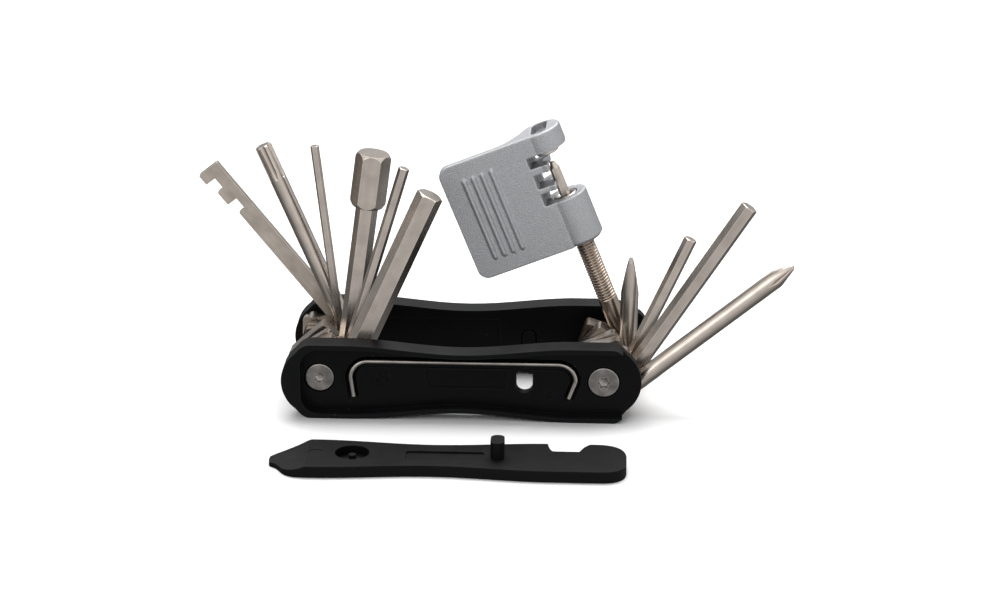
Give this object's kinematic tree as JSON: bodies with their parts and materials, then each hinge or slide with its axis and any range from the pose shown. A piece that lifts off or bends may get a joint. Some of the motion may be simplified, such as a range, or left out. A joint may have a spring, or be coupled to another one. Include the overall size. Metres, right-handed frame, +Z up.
{
  "type": "chain tool",
  "caption": "Folding bicycle tool with a chain tool, hex keys, drivers and a spoke wrench fanned out of a black case, one tyre lever laid in front.",
  "frame": {"origin": "centre of the bounding box, on the table the case stands on", "axes": "+X along the case towards the chain tool end, +Y from the front half to the back half, +Z up"},
  "size_m": [0.1536, 0.075, 0.0717],
  "materials": {
    "case_plastic": "matte black glass-filled nylon with a fine moulded texture",
    "lever_plastic": "matte black nylon with a fine moulded texture",
    "tool_steel": "satin nickel plate over tool steel",
    "spoke_steel": "satin nickel plate over pressed steel",
    "rod_steel": "nickel-plated steel with a rolled thread",
    "fitting_steel": "turned and plated steel",
    "wire_steel": "drawn steel wire, satin",
    "cast_metal": "die-cast, fine silver paint over a blasted surface"
  },
  "bodies": {
    "case": {"front_case": "case_plastic", "rear_case": "case_plastic", "left_axle_screw": "fitting_steel", "right_axle_screw": "fitting_steel", "left_axle_barrel": "fitting_steel", "right_axle_barrel": "fitting_steel", "left_spacer_front": "fitting_steel", "left_spacer_back": "fitting_steel", "right_spacer": "fitting_steel"},
    "hex_key_6": {"hex_key_6": "tool_steel"},
    "hex_key_2_5": {"hex_key_2_5": "tool_steel"},
    "hex_key_5": {"hex_key_5": "tool_steel"},
    "hex_key_2": {"hex_key_2": "tool_steel"},
    "torx_key_25": {"torx_key_25": "tool_steel"},
    "spoke_wrench": {"spoke_wrench": "spoke_steel"},
    "cross_driver": {"cross_driver": "tool_steel"},
    "hex_key_4": {"hex_key_4": "tool_steel"},
    "hex_key_3": {"hex_key_3": "tool_steel"},
    "flat_driver": {"flat_driver": "tool_steel"},
    "chain_tool_rod": {"chain_tool_rod": "rod_steel", "drive_pin": "rod_steel"},
    "hex_adapter_8": {"hex_adapter_8": "tool_steel"},
    "thread_bush": {"thread_bush": "fitting_steel"},
    "chain_tool_body": {"chain_tool_body": "cast_metal", "chain_anvil": "fitting_steel"},
    "chain_hook": {"chain_hook": "wire_steel"},
    "rear_tyre_lever": {"rear_tyre_lever": "lever_plastic"},
    "front_tyre_lever": {"front_tyre_lever": "lever_plastic"}
  },
  "joints": [
    {"name": "hex_key_6_fold", "type": "hinge", "parent": "case", "child": "hex_key_6", "pos_m": [-0.04334, 0.0185, 0.01], "axis": [0, -1, 0], "range_deg": [-65.7, 114.3]},
    {"name": "hex_key_2_5_fold", "type": "hinge", "parent": "case", "child": "hex_key_2_5", "pos_m": [-0.04334, 0.0185, 0.01], "axis": [0, -1, 0], "range_deg": [-73.1, 106.9]},
    {"name": "hex_key_5_fold", "type": "hinge", "parent": "case", "child": "hex_key_5", "pos_m": [-0.04334, 0.0185, 0.01], "axis": [0, -1, 0], "range_deg": [-82.1, 97.9]},
    {"name": "hex_key_2_fold", "type": "hinge", "parent": "case", "child": "hex_key_2", "pos_m": [-0.04334, 0.0185, 0.01], "axis": [0, -1, 0], "range_deg": [-30, 83.7]},
    {"name": "torx_key_25_fold", "type": "hinge", "parent": "case", "child": "torx_key_25", "pos_m": [-0.04334, 0.0185, 0.01], "axis": [0, -1, 0], "range_deg": [-112.7, 67.3]},
    {"name": "spoke_wrench_fold", "type": "hinge", "parent": "case", "child": "spoke_wrench", "pos_m": [-0.04334, 0.0185, 0.01], "axis": [0, -1, 0], "range_deg": [-128.5, 51.5]},
    {"name": "cross_driver_fold", "type": "hinge", "parent": "case", "child": "cross_driver", "pos_m": [0.02936, 0.0185, 0.01], "axis": [0, 1, 0], "range_deg": [-140.4, 39.6]},
    {"name": "hex_key_4_fold", "type": "hinge", "parent": "case", "child": "hex_key_4", "pos_m": [0.02936, 0.0185, 0.01], "axis": [0, 1, 0], "range_deg": [-122.6, 57.4]},
    {"name": "hex_key_3_fold", "type": "hinge", "parent": "case", "child": "hex_key_3", "pos_m": [0.02936, 0.0185, 0.01], "axis": [0, 1, 0], "range_deg": [-114, 66]},
    {"name": "flat_driver_fold", "type": "hinge", "parent": "case", "child": "flat_driver", "pos_m": [0.02936, 0.0185, 0.01], "axis": [0, 1, 0], "range_deg": [-91.3, 88.7]},
    {"name": "chain_tool_rod_fold", "type": "hinge", "parent": "case", "child": "chain_tool_rod", "pos_m": [0.02936, 0.0185, 0.01], "axis": [0, 1, 0], "range_deg": [-68.3, 111.7]},
    {"name": "adapter_slide", "type": "slide", "parent": "hex_key_5", "child": "hex_adapter_8", "axis": [0.1374, 0, 0.9905], "range_m": [0, 0.022]},
    {"name": "chain_tool_travel", "type": "slide", "parent": "chain_tool_rod", "child": "thread_bush", "axis": [-0.3697, 0, 0.9291], "range_m": [-0.0004, 0.0088]},
    {"name": "chain_tool_turn", "type": "hinge", "parent": "thread_bush", "child": "chain_tool_body", "pos_m": [0.02365, 0.0258, 0.04002], "axis": [-0.3697, 0, 0.9291], "range_deg": [-200, 4140]},
    {"name": "chain_hook_slide", "type": "slide", "parent": "case", "child": "chain_hook", "axis": [0, -1, 0], "range_m": [0, 0.045]},
    {"name": "rear_tyre_lever_slide", "type": "slide", "parent": "case", "child": "rear_tyre_lever", "axis": [0, 1, 0], "range_m": [0, 0.03]},
    {"name": "front_tyre_lever_slide", "type": "slide", "parent": "case", "child": "front_tyre_lever", "axis": [0, -1, 0], "range_m": [-0.012, 0.06]}
  ],
  "couplings": [
    {"joint": "chain_tool_turn", "follows": "chain_tool_travel", "rad_per_m": 7854}
  ]
}
